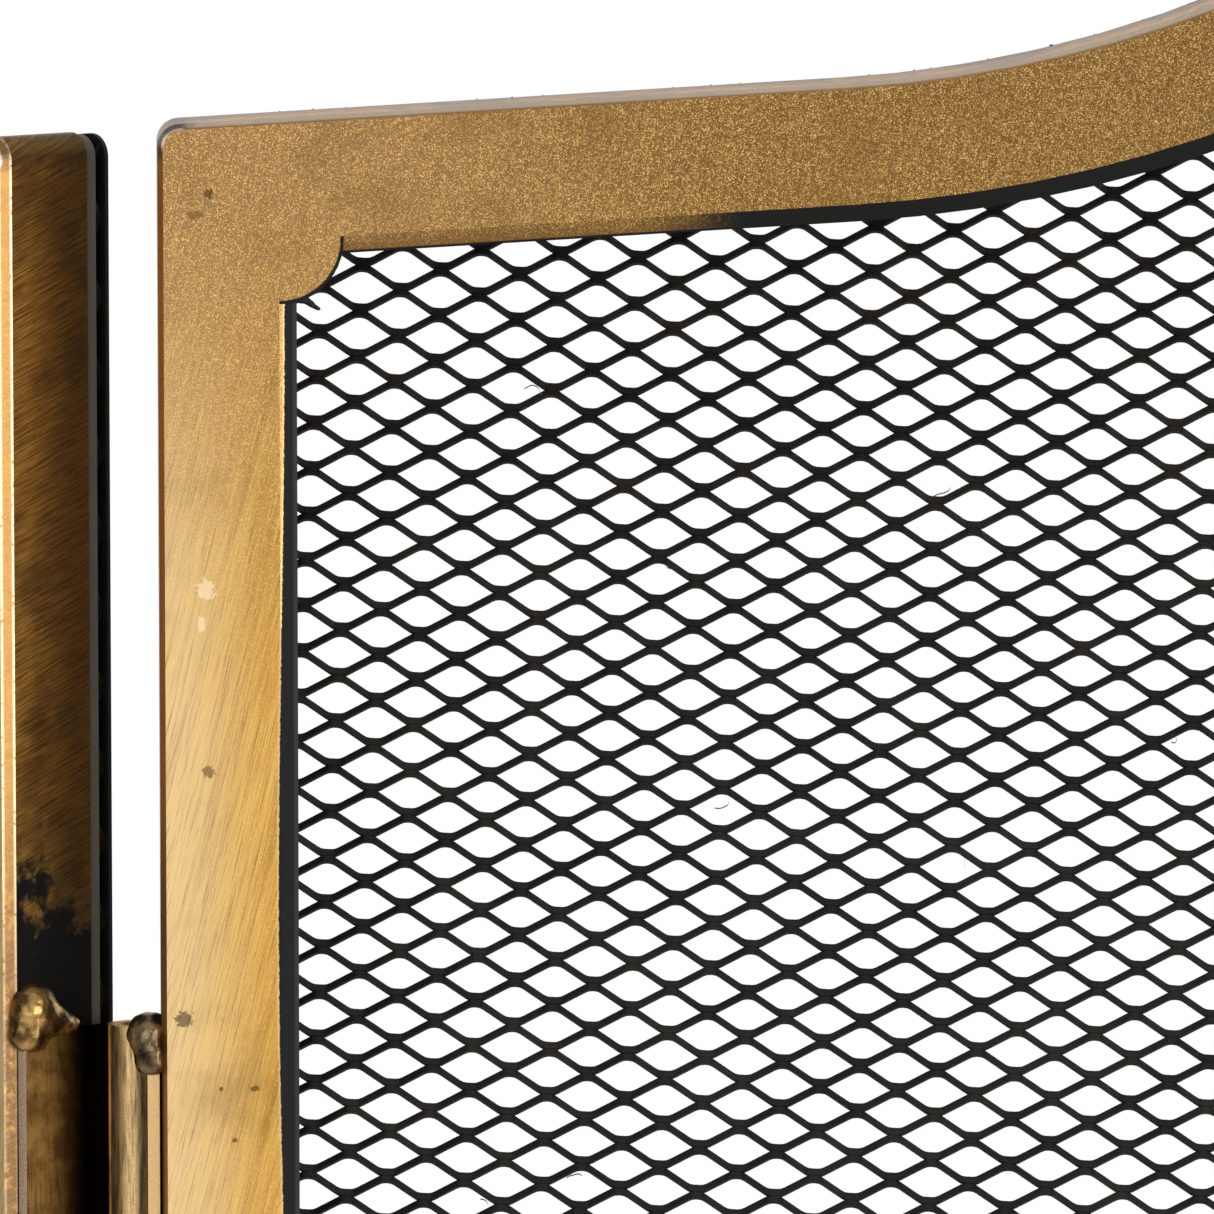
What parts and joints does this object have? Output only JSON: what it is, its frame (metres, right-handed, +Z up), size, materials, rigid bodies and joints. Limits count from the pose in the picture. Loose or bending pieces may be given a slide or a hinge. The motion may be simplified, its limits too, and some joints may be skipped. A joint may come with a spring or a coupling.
{
  "type": "fireplace screen",
  "caption": "Three-panel folding fireplace screen in antique-brass finished steel tube with an arched middle panel, black expanded-metal mesh and side panels on butt hinges.",
  "frame": {"origin": "on the floor, under the middle of the middle panel's bottom rail", "axes": "+Z up, the middle panel's front faces -Y, +X to the right as seen from the front"},
  "size_m": [1.1784, 0.2589, 0.8397],
  "materials": {
    "antique_brass": "satin antique-brass finish with a fine golden speckle",
    "black_bar": "satin black heat-proof enamel",
    "black_mesh": "satin black heat-proof enamel on expanded steel",
    "hinge_leaf": "antique-brass finish, darkened and worn",
    "hinge_pin": "dull steel",
    "weld_metal": "lumpy weld bead under antique-brass finish"
  },
  "bodies": {
    "centre_panel": {"centre_backing_bottom_rail": "black_bar", "centre_backing_left_stile": "black_bar", "centre_backing_right_stile": "black_bar", "centre_backing_top_rail": "black_bar", "centre_bottom_rail": "antique_brass", "centre_clamp_frame": "black_bar", "centre_gussets": "antique_brass", "centre_left_stile": "antique_brass", "centre_mesh": "black_mesh", "centre_right_stile": "antique_brass", "centre_top_rail": "antique_brass", "left_lower_hinge_centre_leaf": "hinge_leaf", "left_lower_hinge_centre_welds": "weld_metal", "left_lower_hinge_pin": "hinge_pin", "left_upper_hinge_centre_leaf": "hinge_leaf", "left_upper_hinge_centre_welds": "weld_metal", "left_upper_hinge_pin": "hinge_pin", "right_lower_hinge_centre_leaf": "hinge_leaf", "right_lower_hinge_centre_welds": "weld_metal", "right_lower_hinge_pin": "hinge_pin", "right_upper_hinge_centre_leaf": "hinge_leaf", "right_upper_hinge_centre_welds": "weld_metal", "right_upper_hinge_pin": "hinge_pin"},
    "left_panel": {"left_backing_bottom_rail": "black_bar", "left_backing_hinge_stile": "black_bar", "left_backing_outer_stile": "black_bar", "left_backing_top_rail": "black_bar", "left_bottom_rail": "antique_brass", "left_clamp_frame": "black_bar", "left_gussets": "antique_brass", "left_hinge_stile": "antique_brass", "left_lower_hinge_side_leaf": "hinge_leaf", "left_lower_hinge_side_welds": "weld_metal", "left_mesh": "black_mesh", "left_outer_stile": "antique_brass", "left_top_rail": "antique_brass", "left_upper_hinge_side_leaf": "hinge_leaf", "left_upper_hinge_side_welds": "weld_metal"},
    "right_panel": {"right_backing_bottom_rail": "black_bar", "right_backing_hinge_stile": "black_bar", "right_backing_outer_stile": "black_bar", "right_backing_top_rail": "black_bar", "right_bottom_rail": "antique_brass", "right_clamp_frame": "black_bar", "right_gussets": "antique_brass", "right_hinge_stile": "antique_brass", "right_lower_hinge_side_leaf": "hinge_leaf", "right_lower_hinge_side_welds": "weld_metal", "right_mesh": "black_mesh", "right_outer_stile": "antique_brass", "right_top_rail": "antique_brass", "right_upper_hinge_side_leaf": "hinge_leaf", "right_upper_hinge_side_welds": "weld_metal"}
  },
  "joints": [
    {"name": "left_panel_hinge", "type": "hinge", "parent": "centre_panel", "child": "left_panel", "pos_m": [-0.3614, 0.0197, 0], "axis": [0, 0, -1], "range_deg": [-48, 132]},
    {"name": "right_panel_hinge", "type": "hinge", "parent": "centre_panel", "child": "right_panel", "pos_m": [0.3614, 0.0197, 0], "axis": [0, 0, 1], "range_deg": [-48, 132]}
  ]
}
